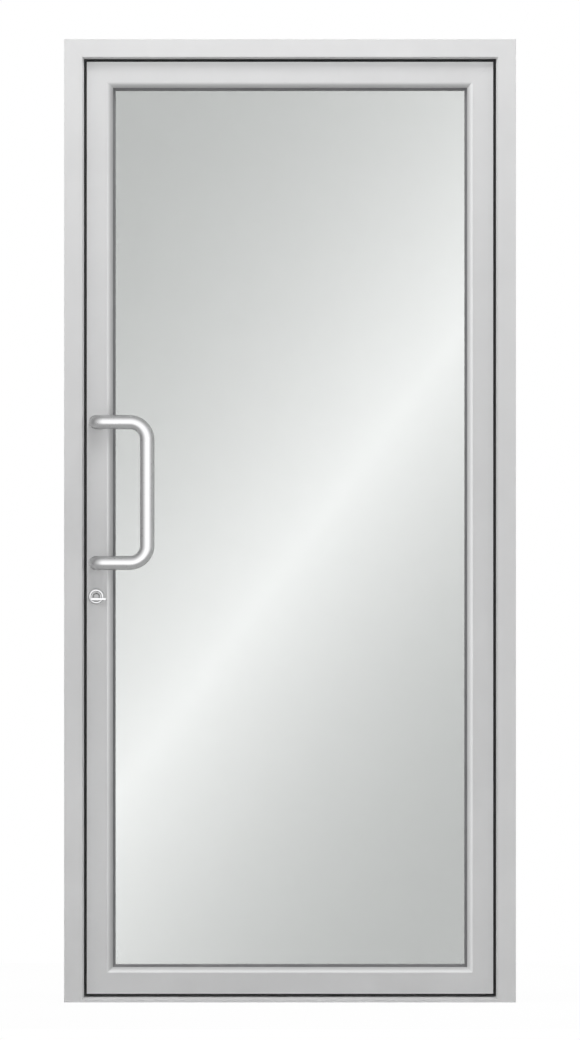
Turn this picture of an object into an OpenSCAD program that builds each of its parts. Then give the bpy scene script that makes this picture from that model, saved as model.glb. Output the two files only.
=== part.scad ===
// Glazed aluminium entrance door: a thermally broken frame with threshold, one hinged leaf,
// sealed double glazing, tubular pull handles on both sides and a narrow stile lock.
// Front is the -Y side, +Z is up and +X is the hinge side; the leaf opens away to +Y.
// Depths are counted from the frame's front face: v runs back, u runs in from the frame's
// outer edge and s runs in from the leaf's edge.

/* [Frame] */
// overall width of the frame
frame_w = 985; // [885:1:1085]
// overall height of the frame
frame_h = 2100; // [2000:1:2300]
// depth of the frame, front face to back face
frame_depth = 75; // [75]
// visible width of a jamb and of the head from the front
frame_face = 43; // [43]
// bevel on the front inner edge of the jambs and head
frame_chamfer = 4; // [2:0.5:6]
// wall of the extruded shells
wall = 2; // [1.6:0.1:2.4]
// height of the threshold's front strip below its slope
threshold_strip = 5; // [4:0.5:6]
// height of the threshold at its front part
threshold_h = 13.5; // [13.5]
// how far the threshold's slope runs back
threshold_run = 8; // [6:0.5:10]
// how much the threshold's top falls towards the front
threshold_fall = 2.5; // [1:0.5:3]

/* [Leaf] */
// gap between frame and leaf seen from the front
leaf_gap = 6.5; // [5.5:0.1:7]
// how far the leaf's front face lies behind the frame's
leaf_recess = 8; // [7:0.5:9]
// height of the drip edge under the leaf's front
drip_h = 1.5; // [0.5:0.5:1.5]
// flat width of stiles and rails seen from the front
leaf_flat = 44; // [42.5:0.5:45.5]
// width of the bevel towards the glass
bevel_w = 12.5; // [11:0.5:13.5]
// depth of that bevel
bevel_d = 7; // [5:0.5:7.5]

/* [Glazing] */
// thickness of each pane
pane_t = 6; // [6]
// space between the panes
pane_space = 16; // [16]
// distance from the leaf's edge to the edge of the glass
glass_in = 45.5; // [44.5:0.5:47.5]
// distance from the leaf's edge to the visible edge of the seals
sight_in = 62.5; // [60.5:0.5:64.5]

/* [Handles] */
// diameter of the handle tube
handle_d = 30; // [25:1:32]
// wall of the handle tube
handle_wall = 2; // [1.5:0.25:3]
// distance between the two arms of a handle
handle_pitch = 307; // [250:1:400]
// height of the lower arm above the floor
handle_z = 958; // [900:1:1000]
// sideways distance from the feet to the grip
handle_reach = 111; // [90:1:130]
// radius of the bends on the tube's centreline
bend_r = 38; // [32:1:42]
// distance from the leaf's face to the tube's centreline
handle_out = 65; // [60:1:80]
// distance of lock and handle feet from the leaf's edge
backset = 20.5; // [18.5:0.5:23.5]

/* [Lock] */
// height of the lock cylinder above the floor
lock_z = 885; // [850:1:900]
// diameter of the round lock cylinder
cylinder_d = 22; // [22]
// diameter of the rosettes
rosette_d = 34.5; // [32:0.5:38]
// thickness of the rosettes
rosette_t = 7; // [6:0.5:9]
// length of the lock's faceplate
faceplate_h = 240; // [230:5:280]

/* [Hinges] */
// height of the middle of the lowest hinge above the floor
hinge_low_z = 230; // [200:1:300]
// distance from the middle of the top hinge to the top of the frame
hinge_top_in = 250; // [200:1:300]
// diameter of the hinge barrels
barrel_d = 20; // [18:0.5:20]
// diameter of the hinge pins
pin_d = 12; // [10:0.5:12]
// distance from the back faces to the pin's axis
pin_out = 15; // [15:0.5:18]
// height of the leaf's knuckle
knuckle_h = 60; // [50:1:70]
// height of one frame knuckle
outer_knuckle_h = 59; // [50:1:70]

/* [Fixing holes] */
// diameter of the holes for the wall anchors
anchor_d = 10.5; // [8.5:0.5:10.5]
// height of the lowest anchor above the floor
anchor_z0 = 250; // [200:1:300]
// distance from the highest anchor to the top of the frame
anchor_top_in = 230; // [200:1:300]

/* [Fits] */
// clearance of the pins in the leaf's knuckles, on the radius
pin_play = 0.05; // [0.02:0.01:0.1]
// clearance of the pins in the frame's knuckles, on the radius
pin_seat = 0.02; // [0.01:0.01:0.05]
// clearance between the parts of a hinge, end to end
knuckle_gap = 1; // [0.5:0.1:1.5]
// clearance of bolts and cylinder in the bores of the shells, on the radius
bore_play = 0.2; // [0.1:0.05:0.4]
// space between a soft seal and the face that presses it
seal_gap = 0.3; // [0.2:0.05:0.5]
// clearance round the bolt and the roller in their openings
slot_play = 0.3; // [0.2:0.1:0.5]

/* [Hidden] */
$fn = 72;

// the frame's cross-section: front shell, plastic bars, back shell
front_shell_d = 25;
back_shell_v = 49;
back_shell_u = 32;
bar_t = 2.5;
stop_t = 2.5;
stop_u = 36.5;
groove_u0 = 38;
groove_u1 = 41.5;
groove_d = 4;
seal_front_d = 4.7;
seal_wide = 8;
// how far the threshold lies below the line a full frame side would take
sill_drop = frame_face - threshold_h;

// the leaf's outline and cross-section
edge_u = frame_face + leaf_gap;
leaf_w = frame_w - 2 * edge_u;
leaf_z0 = edge_u - sill_drop;
leaf_z1 = frame_h - edge_u;
leaf_h = leaf_z1 - leaf_z0;
shell_in = 40.5;
nose = 7.5;
nose_v = 30;
nose_t = 2.5;
lip = 12.5;
leaf_back_v = 56.5;
leg_t = 2.5;
bevel_in = leaf_flat + bevel_w;
bevel_v = leaf_recess + bevel_d;

// the glazing's depths
pane_v0 = 21;
pane_v1 = pane_v0 + pane_t;
pane_v2 = pane_v1 + pane_space;
pane_v3 = pane_v2 + pane_t;
bead_v = pane_v3 + 3;
bead_in = sight_in - 2;
bead_bevel = 9;
bead_wall = 1.6;
packer_l = 100;
packer_x = 130;
packer_z = 250;

// places of the hardware
hardware_x = -leaf_w / 2 + backset;
grip_x = hardware_x + handle_reach;
leaf_mid_v = (leaf_recess + frame_depth) / 2;
handle_r = handle_d / 2;
foot_solid = 12;
bolt_r = 5;
cylinder_r = cylinder_d / 2;
case_v0 = 35;
case_v1 = 53;
case_in = 32.5;
case_wall = 2;
case_below = 60;
case_above = 160;
faceplate_t = 3;
faceplate_v0 = 33;
faceplate_v1 = 55;
faceplate_below = 70;
bolt_up = 40;
bolt_h = 22;
roller_up = 110;
roller_r = 6.5;
roller_h = 14;
roller_proud = 5;
carrier_l = 24;
strike_v0 = 27;
strike_d = 21.5;
strike_play = 2;
spindle_r = 4;
spindle_l = 12;
hub_r = 7;
hub_t = 4;
hub_gap = 0.3;
lever_back = 12;
lever_low = 8.5;
lever_l = 33.5;
lever_t = 5;
lever_h = 5.6;
proud = 2;
hinge_u = 34.5;
hinge_v = frame_depth + pin_out;
barrel_r = barrel_d / 2;
pin_r = pin_d / 2;
wing_t = 4;
wing_edge = 3;
frame_wing_w = 27;
leaf_wing_w = 38;
hinge_zs = [hinge_low_z, (hinge_low_z + frame_h - hinge_top_in) / 2, frame_h - hinge_top_in];
anchor_pitch = (frame_h - anchor_top_in - anchor_z0) / 3;
far = 400;

// turns a depth from the frame's front face into the row's y
function y_of(v) = v - frame_depth / 2;

// one side of a mitred ring: the profile runs from the corner and is cut at 45 degrees at both ends
module ring_side(run, outer, inner) {
    intersection() {
        translate([0, 0, outer]) linear_extrude(run - 2 * outer) children();
        rotate([90, 0, 0]) linear_extrude(far, center = true)
            polygon([[outer, outer], [inner, inner], [inner, run - inner], [outer, run - outer]]);
    }
}

// places a profile run on the four sides of the leaf
module leaf_lock_side() {
    translate([-leaf_w / 2, y_of(0), leaf_z0]) children();
}

module leaf_hinge_side() {
    mirror([1, 0, 0]) leaf_lock_side() children();
}

module leaf_top_side() {
    translate([-leaf_w / 2, y_of(0), leaf_z1]) rotate([0, 90, 0]) children();
}

module leaf_bottom_side() {
    translate([leaf_w / 2, y_of(0), leaf_z0]) rotate([0, -90, 0]) children();
}

// the same profile on all four sides of the leaf
module leaf_ring(outer, inner) {
    leaf_lock_side() ring_side(leaf_h, outer, inner) children();
    leaf_hinge_side() ring_side(leaf_h, outer, inner) children();
    leaf_top_side() ring_side(leaf_w, outer, inner) children();
    leaf_bottom_side() ring_side(leaf_w, outer, inner) children();
}

// a slab parallel to the leaf, its edge a given distance in from the leaf's edge
module leaf_slab(inset, v0, v1) {
    translate([-leaf_w / 2 + inset, y_of(v0), leaf_z0 + inset])
        cube([leaf_w - 2 * inset, v1 - v0, leaf_h - 2 * inset]);
}

// jambs stand on the floor, are mitred at the head and square at the foot
module jamb_run(inner) {
    intersection() {
        linear_extrude(frame_h) children();
        rotate([90, 0, 0]) linear_extrude(far, center = true)
            polygon([[0, 0], [inner, 0], [inner, frame_h - inner], [0, frame_h]]);
    }
}

module lock_jamb() {
    translate([-frame_w / 2, y_of(0), 0]) children();
}

module hinge_jamb() {
    mirror([1, 0, 0]) lock_jamb() children();
}

module head_run(inner) {
    translate([-frame_w / 2, y_of(0), frame_h]) rotate([0, 90, 0])
        ring_side(frame_w, 0, inner) children();
}

// profiles of the frame, drawn in u and v
module frame_front_outline() {
    polygon([[0, 0], [frame_face - frame_chamfer, 0], [frame_face, frame_chamfer],
        [frame_face, front_shell_d], [0, front_shell_d]]);
}

module frame_front_profile() {
    difference() {
        frame_front_outline();
        polygon([[wall, wall], [frame_face - frame_chamfer - 0.8, wall],
            [frame_face - wall, frame_chamfer + 0.8], [frame_face - wall, front_shell_d - 6],
            [groove_u0 - wall, front_shell_d - 6], [groove_u0 - wall, front_shell_d - wall],
            [wall, front_shell_d - wall]]);
        translate([groove_u0, front_shell_d - groove_d])
            square([groove_u1 - groove_u0, groove_d + 1]);
    }
}

module frame_back_outline() {
    translate([0, back_shell_v]) square([back_shell_u, frame_depth - back_shell_v]);
    translate([0, back_shell_v]) square([stop_u, stop_t]);
}

module frame_back_profile() {
    difference() {
        frame_back_outline();
        translate([wall, back_shell_v + wall])
            square([back_shell_u - 2 * wall, frame_depth - back_shell_v - 2 * wall]);
    }
}

module frame_bars_profile() {
    translate([3, front_shell_d]) square([bar_t, back_shell_v - front_shell_d]);
    translate([back_shell_u - bar_t, front_shell_d])
        square([bar_t, back_shell_v - front_shell_d]);
}

// profiles of the leaf, drawn in s and v
module leaf_front_profile() {
    difference() {
        polygon([[0, leaf_recess], [leaf_flat, leaf_recess], [bevel_in, bevel_v],
            [bevel_in, bevel_v + leg_t], [leaf_flat - 0.6, leaf_recess + leg_t],
            [shell_in, leaf_recess + leg_t], [shell_in, nose_v + nose_t],
            [-nose, nose_v + nose_t], [-nose, nose_v], [0, nose_v]]);
        translate([wall, leaf_recess + wall])
            square([shell_in - 2 * wall, nose_v + nose_t - leaf_recess - 2 * wall]);
    }
}

module leaf_back_profile() {
    difference() {
        translate([-lip, leaf_back_v]) square([shell_in + lip, frame_depth - leaf_back_v]);
        translate([-lip + wall, leaf_back_v + wall])
            square([shell_in + lip - 2 * wall, frame_depth - leaf_back_v - 2 * wall]);
    }
}

module leaf_bars_profile() {
    for (s = [0, shell_in - bar_t])
        translate([s, nose_v + nose_t]) square([bar_t, leaf_back_v - nose_v - nose_t]);
}

module bead_profile() {
    difference() {
        polygon([[shell_in, bead_v], [bead_in, bead_v], [bead_in, frame_depth - bead_bevel],
            [bead_in - 11, frame_depth], [shell_in, frame_depth]]);
        polygon([[shell_in + bead_wall, bead_v + bead_wall],
            [bead_in - bead_wall, bead_v + bead_wall],
            [bead_in - bead_wall, frame_depth - bead_bevel - 0.7],
            [bead_in - 11.6, frame_depth - bead_wall], [shell_in + bead_wall, frame_depth - bead_wall]]);
    }
}

// round holes through the jambs' back shells for the wall anchors
module anchor_holes() {
    for (i = [0 : 3])
        translate([-1, (back_shell_v + frame_depth) / 2, anchor_z0 + i * anchor_pitch])
            rotate([0, 90, 0]) cylinder(d = anchor_d, h = back_shell_u + 2);
}

// a round bar that lies along the depth at the hardware's line
module cross_rod(z, r, v0, v1) {
    translate([hardware_x, y_of(v0), z]) rotate([-90, 0, 0]) cylinder(r = r, h = v1 - v0);
}

// bores in the lock stile for the cylinder and the handle bolts
module stile_bores() {
    cross_rod(lock_z, cylinder_r + bore_play, -1, frame_depth + 1);
    for (i = [0, 1])
        cross_rod(handle_z + i * handle_pitch, bolt_r + bore_play, -1, frame_depth + 1);
}

module jamb_lock_front() {
    color("silver") lock_jamb() jamb_run(frame_face) frame_front_profile();
}

module jamb_lock_back() {
    color("silver") lock_jamb() difference() {
        jamb_run(stop_u) frame_back_profile();
        anchor_holes();
    }
}

module jamb_hinge_front() {
    color("silver") hinge_jamb() jamb_run(frame_face) frame_front_profile();
}

module jamb_hinge_back() {
    color("silver") hinge_jamb() difference() {
        jamb_run(stop_u) frame_back_profile();
        anchor_holes();
    }
}

module head_front() {
    color("silver") head_run(frame_face) frame_front_profile();
}

module head_back() {
    color("silver") head_run(stop_u) frame_back_profile();
}

// the insulating bars of both jambs and the head, with a window behind the strike plate
module frame_breaks() {
    color("dimgray") difference() {
        union() {
            lock_jamb() jamb_run(back_shell_u) frame_bars_profile();
            hinge_jamb() jamb_run(back_shell_u) frame_bars_profile();
            head_run(back_shell_u) frame_bars_profile();
        }
        strike_windows();
    }
}

// runs a profile drawn in v and z along the threshold
module sill_run(inset) {
    translate([-frame_w / 2 + inset, y_of(0), 0]) rotate([90, 0, 90])
        linear_extrude(frame_w - 2 * inset) children();
}

module threshold_front() {
    seal_z = groove_u0 - sill_drop;
    front_h = threshold_h - threshold_fall;
    color("silver") difference() {
        sill_run(frame_face - frame_chamfer) difference() {
            polygon([[0, 0], [front_shell_d, 0], [front_shell_d, threshold_h],
                [threshold_run, front_h], [0, threshold_strip]]);
            polygon([[wall, wall], [front_shell_d - wall, wall],
                [front_shell_d - wall, seal_z - wall], [front_shell_d - 6, seal_z - wall],
                [front_shell_d - 6, front_h - wall],
                [threshold_run + 0.9, front_h - wall], [wall, threshold_strip - 0.8]]);
            translate([front_shell_d - groove_d, seal_z])
                square([groove_d + 1, groove_u1 - groove_u0]);
        }
        lock_jamb() linear_extrude(far) frame_front_outline();
        hinge_jamb() linear_extrude(far) frame_front_outline();
    }
}

module threshold_break() {
    color("dimgray") translate([-frame_w / 2 + back_shell_u, y_of(front_shell_d), 0])
        cube([frame_w - 2 * back_shell_u, back_shell_v - front_shell_d, back_shell_u - sill_drop]);
}

module threshold_back() {
    color("silver") difference() {
        sill_run(back_shell_u) {
            translate([back_shell_v, 0])
                square([frame_depth - back_shell_v, back_shell_u - sill_drop]);
            translate([back_shell_v, 0]) square([stop_t, stop_u - sill_drop]);
        }
        lock_jamb() linear_extrude(far) frame_back_outline();
        hinge_jamb() linear_extrude(far) frame_back_outline();
    }
}

// the soft seal that the leaf closes against, a hollow ring round all four sides
module frame_seal() {
    v0 = front_shell_d;
    v1 = front_shell_d + seal_front_d;
    stem = groove_d - 0.5;
    tip = groove_u0 + seal_wide;
    color("black") difference() {
        for (side = [0 : 3])
            frame_side(side) ring_side(side < 2 ? frame_h + sill_drop : frame_w, groove_u0, tip)
                difference() {
                    polygon([[groove_u0, v0 - stem], [groove_u1, v0 - stem], [groove_u1, v0],
                        [tip - 1, v0], [tip, v0 + 2], [tip - 1, v1], [groove_u0 + 1.2, v1],
                        [groove_u0, v1 - 1.2]]);
                    polygon([[groove_u0 + 2, v0 + 1], [tip - 2, v0 + 1], [tip - 1.4, v0 + 2],
                        [tip - 2, v1 - 0.9], [groove_u0 + 2, v1 - 0.9]]);
                }
        for (m = [0, 1]) mirror([m, 0, 0]) lock_jamb()
            translate([groove_u1, v0 - groove_d, 0])
                cube([frame_face - groove_u1, groove_d, threshold_h]);
    }
}

// the four sides of the ring that the frame makes with the threshold
module frame_side(side) {
    if (side == 0) translate([-frame_w / 2, y_of(0), -sill_drop]) children();
    if (side == 1) mirror([1, 0, 0]) translate([-frame_w / 2, y_of(0), -sill_drop]) children();
    if (side == 2) translate([-frame_w / 2, y_of(0), frame_h]) rotate([0, 90, 0]) children();
    if (side == 3) translate([frame_w / 2, y_of(0), -sill_drop]) rotate([0, -90, 0]) children();
}

// lies in the rebate of the lock jamb, with an opening for the bolt and one for the roller
module strike_plate() {
    color("gray") difference() {
        translate([-frame_w / 2 + back_shell_u, y_of(strike_v0), lock_z - faceplate_below])
            cube([stop_t, strike_d, faceplate_h]);
        strike_windows();
    }
}

// openings for the bolt and the roller, through the strike plate and the bar behind it
module strike_windows() {
    v0 = case_v0 + case_wall - strike_play / 2;
    for (span = [[bolt_up, bolt_h], [roller_up - roller_h / 2, roller_h]])
        translate([-frame_w / 2 + back_shell_u - bar_t - 1, y_of(v0), lock_z + span[0] - strike_play])
            cube([stop_t + bar_t + 2, back_shell_v - v0 - 2, span[1] + 2 * strike_play]);
}

// frame part of a hinge: two winged knuckles, one above and one below the leaf's
module hinge_frame_part(z) {
    color("silver") for (low = [0, 1])
        translate([frame_w / 2, y_of(0), z]) mirror([0, 0, low])
            translate([0, 0, knuckle_h / 2 + knuckle_gap]) difference() {
                union() {
                    linear_extrude(outer_knuckle_h) mirror([1, 0]) {
                        translate([wing_edge, frame_depth]) square([frame_wing_w, wing_t]);
                        polygon([[hinge_u - barrel_r - 6, frame_depth],
                            [wing_edge + frame_wing_w, frame_depth],
                            [hinge_u + 3, hinge_v - 8], [hinge_u - 4, hinge_v + 7]]);
                    }
                    translate([-hinge_u, hinge_v, 0]) cylinder(r = barrel_r, h = outer_knuckle_h);
                }
                translate([-hinge_u, hinge_v, -1])
                    cylinder(r = pin_r + pin_seat, h = outer_knuckle_h + 2);
            }
}

// leaf part of a hinge: one winged knuckle
module hinge_leaf_part(z) {
    color("silver") translate([frame_w / 2, y_of(0), z - knuckle_h / 2]) difference() {
        union() {
            linear_extrude(knuckle_h) mirror([1, 0]) {
                translate([edge_u - lip + 3, frame_depth]) square([leaf_wing_w, wing_t]);
                polygon([[edge_u - lip + 3, frame_depth], [hinge_u + barrel_r + 10, frame_depth],
                    [hinge_u + 5, hinge_v + 7], [hinge_u - 4, hinge_v - 6]]);
            }
            translate([-hinge_u, hinge_v, 0]) cylinder(r = barrel_r, h = knuckle_h);
        }
        translate([-hinge_u, hinge_v, -1]) cylinder(r = pin_r + pin_play, h = knuckle_h + 2);
    }
}

module hinge_bottom_frame() {
    hinge_frame_part(hinge_zs[0]);
}

module hinge_middle_frame() {
    hinge_frame_part(hinge_zs[1]);
}

module hinge_top_frame() {
    hinge_frame_part(hinge_zs[2]);
}

module hinge_bottom_leaf() {
    hinge_leaf_part(hinge_zs[0]);
}

module hinge_middle_leaf() {
    hinge_leaf_part(hinge_zs[1]);
}

module hinge_top_leaf() {
    hinge_leaf_part(hinge_zs[2]);
}

// a pin through each hinge, with a cap above and below
module hinge_pins() {
    half = knuckle_h / 2 + knuckle_gap + outer_knuckle_h;
    color("silver") for (z = hinge_zs)
        translate([frame_w / 2 - hinge_u, y_of(hinge_v), z]) {
            translate([0, 0, -half]) cylinder(r = pin_r, h = 2 * half);
            for (end = [-half - 3, half])
                translate([0, 0, end]) cylinder(r = barrel_r - 0.5, h = 3);
        }
}

module stile_lock_front() {
    color("silver") difference() {
        leaf_lock_side() ring_side(leaf_h, -nose, bevel_in) leaf_front_profile();
        stile_bores();
    }
}

module stile_lock_back() {
    color("silver") difference() {
        leaf_lock_side() ring_side(leaf_h, -lip, shell_in) leaf_back_profile();
        stile_bores();
    }
}

module stile_hinge_front() {
    color("silver") leaf_hinge_side() ring_side(leaf_h, -nose, bevel_in) leaf_front_profile();
}

module stile_hinge_back() {
    color("silver") leaf_hinge_side() ring_side(leaf_h, -lip, shell_in) leaf_back_profile();
}

module top_rail_front() {
    color("silver") leaf_top_side() ring_side(leaf_w, -nose, bevel_in) leaf_front_profile();
}

module top_rail_back() {
    color("silver") leaf_top_side() ring_side(leaf_w, -lip, shell_in) leaf_back_profile();
}

// the bottom rail's front shell, with a drip edge under its face
module bottom_rail_front() {
    color("silver") {
        leaf_bottom_side() ring_side(leaf_w, -nose, bevel_in) leaf_front_profile();
        translate([-leaf_w / 2, y_of(leaf_recess), leaf_z0 - drip_h]) cube([leaf_w, wall, drip_h]);
    }
}

module bottom_rail_back() {
    color("silver") leaf_bottom_side() ring_side(leaf_w, -lip, shell_in) leaf_back_profile();
}

// the space of the lock's case in the stile's edge
module case_block(grow) {
    translate([-leaf_w / 2, y_of(case_v0 - grow), lock_z - case_below - grow])
        cube([case_in + grow, case_v1 - case_v0 + 2 * grow, case_below + case_above + 2 * grow]);
}

module leaf_breaks() {
    color("dimgray") difference() {
        leaf_ring(0, shell_in) leaf_bars_profile();
        translate([-bar_t, 0, 0]) case_block(0);
    }
}

// the lip seal on the leaf's back shell, it closes on the frame's shoulder
module leaf_seal() {
    v0 = back_shell_v + stop_t + seal_gap;
    tip = -lip - 1.8;
    root = -lip / 2;
    color("black") leaf_ring(tip, root)
        polygon([[0.5 - lip, leaf_back_v], [root, leaf_back_v], [root, leaf_back_v - 1.6],
            [tip + 3.2, v0], [tip, v0], [tip, v0 + 1]]);
}

// packing blocks that centre the glass in the leaf
module glazing_blocks() {
    long = packer_l;
    depth = pane_v3 - pane_v0;
    color("darkgray") {
        for (x = [-leaf_w / 2 + packer_x, leaf_w / 2 - packer_x - long]) {
            translate([x, y_of(pane_v0), leaf_z0 + shell_in]) cube([long, depth, glass_in - shell_in]);
            translate([x, y_of(pane_v0), leaf_z1 - glass_in]) cube([long, depth, glass_in - shell_in]);
        }
        for (z = [leaf_z0 + packer_z, leaf_z1 - packer_z - long]) {
            translate([-leaf_w / 2 + shell_in, y_of(pane_v0), z]) cube([glass_in - shell_in, depth, long]);
            translate([leaf_w / 2 - glass_in, y_of(pane_v0), z]) cube([glass_in - shell_in, depth, long]);
        }
    }
}

module glass_front() {
    color("lightblue") leaf_slab(glass_in, pane_v0, pane_v1);
}

module glass_back() {
    color("lightblue") leaf_slab(glass_in, pane_v2, pane_v3);
}

module glass_spacer() {
    color("gray") difference() {
        leaf_slab(glass_in + 1, pane_v1, pane_v2);
        leaf_slab(glass_in + 13, pane_v1 - 1, pane_v2 + 1);
    }
}

module glazing_seal_front() {
    root = glass_in + 4;
    drop = -bevel_d / (bevel_w + 0.6);
    color("black") leaf_ring(root, sight_in)
        polygon([[root, pane_v0], [sight_in, pane_v0], [sight_in - 1, pane_v0 - 4],
            [bevel_in, bevel_v + 0.5], [bevel_in, bevel_v + leg_t],
            [root, bevel_v + leg_t + (bevel_in - root) * drop]]);
}

module glazing_seal_back() {
    root = glass_in + 3;
    color("black") leaf_ring(root, sight_in)
        polygon([[root, pane_v3], [sight_in, pane_v3], [sight_in, pane_v3 + 1.6],
            [bead_in, bead_v + 1.2], [bead_in, bead_v], [root, bead_v]]);
}

// side beads run the full height of the opening, top and bottom beads fit between them
module bead_lock_side() {
    color("silver") leaf_lock_side() translate([0, 0, shell_in])
        linear_extrude(leaf_h - 2 * shell_in) bead_profile();
}

module bead_hinge_side() {
    color("silver") leaf_hinge_side() translate([0, 0, shell_in])
        linear_extrude(leaf_h - 2 * shell_in) bead_profile();
}

module bead_between() {
    translate([0, 0, shell_in]) linear_extrude(leaf_w - 2 * shell_in) bead_profile();
}

// cuts the short beads to the shape of the side beads
module bead_cope() {
    for (m = [0, 1]) mirror([m, 0, 0]) leaf_lock_side() linear_extrude(leaf_h)
        polygon([[shell_in - 1, bead_v - 1], [bead_in, bead_v - 1],
            [bead_in, frame_depth - bead_bevel], [bead_in - 11, frame_depth],
            [bead_in - 11, frame_depth + 1], [shell_in - 1, frame_depth + 1]]);
}

module bead_top() {
    color("silver") difference() {
        leaf_top_side() bead_between();
        bead_cope();
    }
}

module bead_bottom() {
    color("silver") difference() {
        leaf_bottom_side() bead_between();
        bead_cope();
    }
}

// a cut-out in the leaf's edge for the bolt or the roller
module edge_window(z, h) {
    v0 = case_v0 + case_wall - slot_play;
    translate([-leaf_w / 2 - faceplate_t - 1, y_of(v0), z])
        cube([faceplate_t + 2, case_v1 - case_wall + slot_play - v0, h]);
}

module lock_faceplate() {
    color("gray") difference() {
        translate([-leaf_w / 2 - faceplate_t, y_of(faceplate_v0), lock_z - faceplate_below])
            cube([faceplate_t, faceplate_v1 - faceplate_v0, faceplate_h]);
        edge_window(lock_z + bolt_up - slot_play, bolt_h + 2 * slot_play);
        edge_window(lock_z + roller_up - roller_h / 2 - slot_play, roller_h + 2 * slot_play);
    }
}

module lock_case() {
    color("gray") difference() {
        case_block(0);
        translate([-1, 0, 0]) case_block(-case_wall);
        cross_rod(lock_z, cylinder_r, 0, frame_depth);
        cross_rod(handle_z, bolt_r + bore_play, 0, frame_depth);
    }
}

// the spring roller: its carrier slides in the case, its tip stands out of the faceplate
module latch_roller() {
    carrier_v = case_v0 + case_wall;
    carrier_d = case_v1 - case_wall - carrier_v;
    z = lock_z + roller_up;
    color("gray") {
        translate([-leaf_w / 2 - faceplate_t - roller_proud + roller_r,
            y_of(carrier_v + carrier_d / 2), z - roller_h / 2]) cylinder(r = roller_r, h = roller_h);
        translate([-leaf_w / 2, y_of(carrier_v), z - roller_h / 2 - 3]) difference() {
            cube([carrier_l, carrier_d, roller_h + 6]);
            translate([-1, -1, 3]) cube([5, carrier_d + 2, roller_h]);
        }
    }
}

// the dead bolt, drawn back level with the faceplate
module dead_bolt() {
    v0 = case_v0 + case_wall;
    color("gray") translate([-leaf_w / 2 - faceplate_t, y_of(v0), lock_z + bolt_up])
        cube([28, case_v1 - case_wall - v0, bolt_h]);
}

// round cylinder through the stile: a spindle bore in front, a key slot behind
module lock_cylinder() {
    v0 = leaf_recess - rosette_t - proud;
    v1 = frame_depth + rosette_t + proud;
    color("gray") difference() {
        cross_rod(lock_z, cylinder_r, v0, v1);
        cross_rod(lock_z, spindle_r + pin_play, v0 - 1, v0 + spindle_l + 1);
        translate([hardware_x - 1.1, y_of(v1 - 8), lock_z - 5]) cube([2.2, 9, 8]);
    }
}

module rosette(v0, v1) {
    difference() {
        cross_rod(lock_z, rosette_d / 2, v0, v1);
        cross_rod(lock_z, cylinder_r, v0 - 1, v1 + 1);
    }
}

module lock_rosette_front() {
    color("silver") rosette(leaf_recess - rosette_t, leaf_recess);
}

module lock_rosette_back() {
    color("silver") rosette(frame_depth, frame_depth + rosette_t);
}

// the flat turn lever on the front, its bar just below the spindle
module lock_turn() {
    v1 = leaf_recess - rosette_t - proud;
    color("silver") {
        cross_rod(lock_z, spindle_r, v1 - hub_gap - 1, v1 + spindle_l);
        cross_rod(lock_z, hub_r, v1 - hub_gap - hub_t, v1 - hub_gap);
        translate([hardware_x - lever_back, y_of(v1 - hub_gap - hub_t - 3), lock_z - lever_low])
            cube([lever_l, lever_t, lever_h]);
    }
}

// the handle's tube: two feet that turn into the arms, and the grip between them
module handle_path(r, start) {
    y_arm = y_of(leaf_recess - handle_out);
    z1 = handle_z + handle_pitch;
    for (z = [handle_z, z1]) {
        cross_rod(z, r, leaf_recess - handle_out + bend_r, leaf_recess - start);
        translate([hardware_x + bend_r, y_arm + bend_r, z]) rotate([0, 0, 180])
            rotate_extrude(angle = 90) translate([bend_r, 0]) circle(r);
        translate([hardware_x + bend_r, y_arm, z]) rotate([0, 90, 0])
            cylinder(r = r, h = handle_reach - 2 * bend_r);
    }
    translate([grip_x - bend_r, y_arm, handle_z + bend_r]) rotate([90, 0, 0])
        rotate([0, 0, 270]) rotate_extrude(angle = 90) translate([bend_r, 0]) circle(r);
    translate([grip_x - bend_r, y_arm, z1 - bend_r]) rotate([90, 0, 0])
        rotate_extrude(angle = 90) translate([bend_r, 0]) circle(r);
    translate([grip_x, y_arm, handle_z + bend_r]) cylinder(r = r, h = handle_pitch - 2 * bend_r);
}

module handle_body() {
    difference() {
        handle_path(handle_r, 0);
        handle_path(handle_r - handle_wall, foot_solid);
        for (z = [handle_z, handle_z + handle_pitch])
            cross_rod(z, bolt_r, leaf_recess - foot_solid - 1, leaf_recess + 1);
    }
}

module handle_front() {
    color("gainsboro") handle_body();
}

module handle_back() {
    color("gainsboro") translate([0, 2 * y_of(leaf_mid_v), 0]) mirror([0, 1, 0]) handle_body();
}

// the two bolts that hold both handles through the stile
module handle_bolts() {
    color("gray") for (z = [handle_z, handle_z + handle_pitch])
        cross_rod(z, bolt_r, leaf_recess - foot_solid - 4, frame_depth + foot_solid + 4);
}

jamb_lock_front();
jamb_lock_back();
jamb_hinge_front();
jamb_hinge_back();
head_front();
head_back();
frame_breaks();
threshold_front();
threshold_break();
threshold_back();
frame_seal();
strike_plate();
hinge_top_frame();
hinge_middle_frame();
hinge_bottom_frame();
hinge_pins();
stile_lock_front();
stile_lock_back();
stile_hinge_front();
stile_hinge_back();
top_rail_front();
top_rail_back();
bottom_rail_front();
bottom_rail_back();
leaf_breaks();
leaf_seal();
glazing_blocks();
glass_front();
glass_spacer();
glass_back();
glazing_seal_front();
glazing_seal_back();
bead_lock_side();
bead_hinge_side();
bead_top();
bead_bottom();
hinge_top_leaf();
hinge_middle_leaf();
hinge_bottom_leaf();
lock_faceplate();
lock_case();
latch_roller();
dead_bolt();
lock_cylinder();
lock_rosette_front();
lock_rosette_back();
lock_turn();
handle_front();
handle_back();
handle_bolts();
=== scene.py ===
import math

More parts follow.
